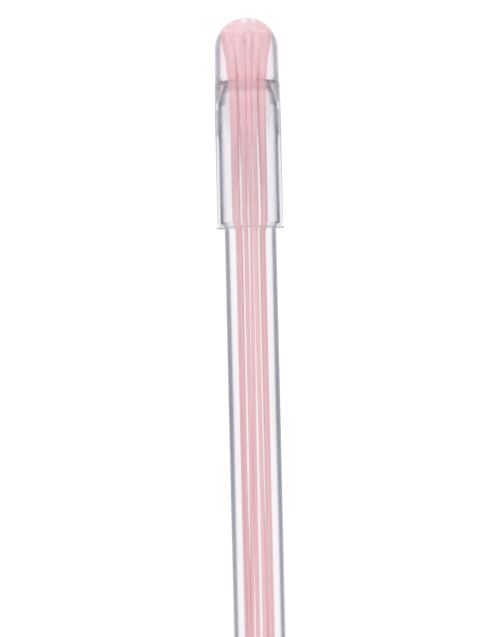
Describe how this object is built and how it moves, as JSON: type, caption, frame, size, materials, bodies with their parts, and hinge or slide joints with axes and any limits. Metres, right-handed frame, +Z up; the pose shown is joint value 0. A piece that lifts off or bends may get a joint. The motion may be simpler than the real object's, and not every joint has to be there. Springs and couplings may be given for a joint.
{
  "type": "lip gloss tube",
  "caption": "Slim clear lip gloss tube with a domed clear push-fit cap, whose wand of pink strands runs down the gloss-filled barrel",
  "frame": {"origin": "centre of the foot's flat bottom face", "axes": "+Z up along the tube's axis to the cap's dome; +X towards the applicator's slanted face"},
  "size_m": [0.0104, 0.0104, 0.12],
  "materials": {
    "clear_barrel": "clear, polished",
    "clear_cap": "clear, polished",
    "clear_silicone": "clear, smooth",
    "gloss_gel": "clear gel, faintly pink",
    "wiper_elastomer": "translucent, soft",
    "pale_pink_plug": "satin",
    "seal_rubber": "smooth",
    "pale_pink_clear": "translucent pale pink",
    "clear_rod": "clear",
    "pink_strand": "smooth pink",
    "flock": "short flock"
  },
  "bodies": {
    "barrel": {"barrel": "clear_barrel", "foot": "clear_cap", "gloss": "gloss_gel", "wiper": "wiper_elastomer", "base_plug": "pale_pink_plug", "base_seal": "seal_rubber"},
    "grip_ring": {"grip_ring": "clear_silicone"},
    "cap": {"cap_shell": "clear_cap", "stem_head": "pale_pink_clear", "stem_collar": "pale_pink_clear", "stem_core": "clear_rod", "applicator_core": "pale_pink_plug", "applicator_flock": "flock", "stem_strand_01": "pink_strand", "stem_strand_02": "pink_strand", "stem_strand_03": "pink_strand", "stem_strand_04": "pink_strand", "stem_strand_05": "pink_strand", "stem_strand_06": "pink_strand", "stem_strand_07": "pink_strand", "stem_strand_08": "pink_strand", "stem_strand_09": "pink_strand", "stem_strand_10": "pink_strand", "stem_strand_11": "pink_strand", "stem_strand_12": "pink_strand", "stem_strand_13": "pink_strand", "stem_strand_14": "pink_strand"}
  },
  "joints": [
    {"name": "cap_turn", "type": "hinge", "parent": "barrel", "child": "grip_ring", "pos_m": [0, 0, 0.10405], "axis": [0, 0, 1], "continuous": true},
    {"name": "cap_pull", "type": "slide", "parent": "grip_ring", "child": "cap", "axis": [0, 0, 1], "range_m": [0, 0.108]}
  ]
}
